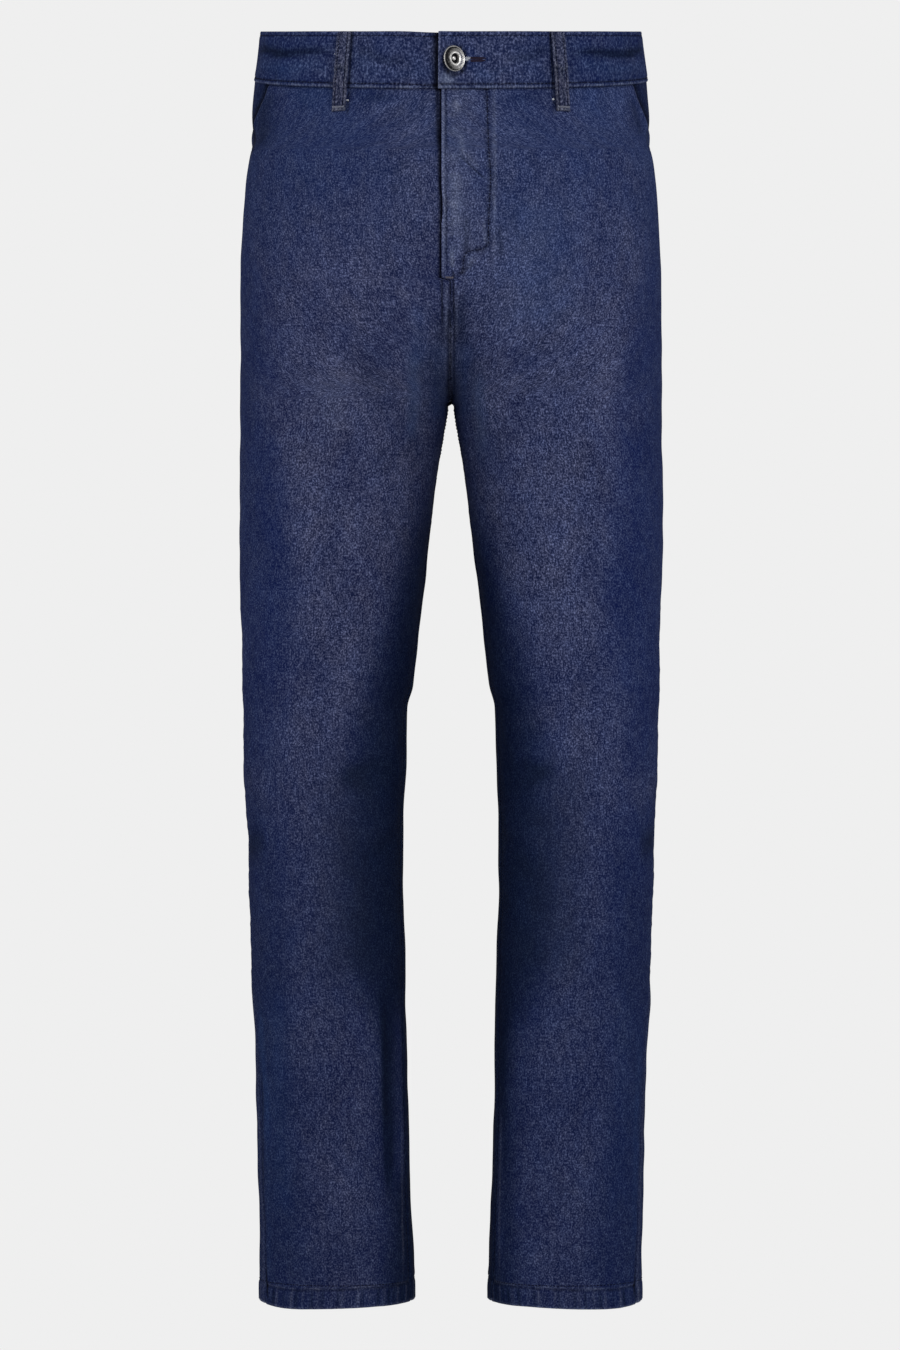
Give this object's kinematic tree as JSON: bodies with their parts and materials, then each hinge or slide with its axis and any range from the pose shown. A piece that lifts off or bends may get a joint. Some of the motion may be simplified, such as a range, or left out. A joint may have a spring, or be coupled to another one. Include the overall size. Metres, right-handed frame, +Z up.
{
  "type": "slim fit jeans",
  "caption": "Slim fit denim jeans, filled out and hollow, with a buttoned waistband, belt loops, fly, scooped front pockets, yokes and patch back pockets; legs taper to open hems.",
  "frame": {"origin": "middle of the waist, at half the height of the waistband, where the wearer holds the jeans up", "axes": "+X to the wearer's left, -Y to the wearer's front, +Z up; the legs hang down along -Z"},
  "size_m": [0.3466, 0.2572, 1.0431],
  "materials": {
    "denim": "dark indigo twill, worn, matt",
    "denim_patch": "dark indigo twill, less worn, matt",
    "denim_band": "dark indigo twill, doubled, matt",
    "denim_loop": "grey-blue twill, matt",
    "antique_nickel": "antique nickel, polished on its raised parts",
    "zip_metal": "dark metal teeth on a black tape"
  },
  "bodies": {
    "root": {"front_left": "denim", "front_right": "denim", "pocket_facing_left": "denim_patch", "pocket_facing_right": "denim_patch", "yoke_left": "denim", "yoke_right": "denim", "back_left": "denim", "back_right": "denim", "back_pocket_left": "denim_patch", "back_pocket_right": "denim_patch", "fly_facing": "denim_patch", "zip": "zip_metal", "fly_shield": "denim_patch", "waistband": "denim_band", "belt_loop_1": "denim_loop", "belt_loop_2": "denim_loop", "belt_loop_3": "denim_loop", "belt_loop_4": "denim_loop", "belt_loop_5": "denim_loop", "button": "antique_nickel"}
  },
  "joints": []
}
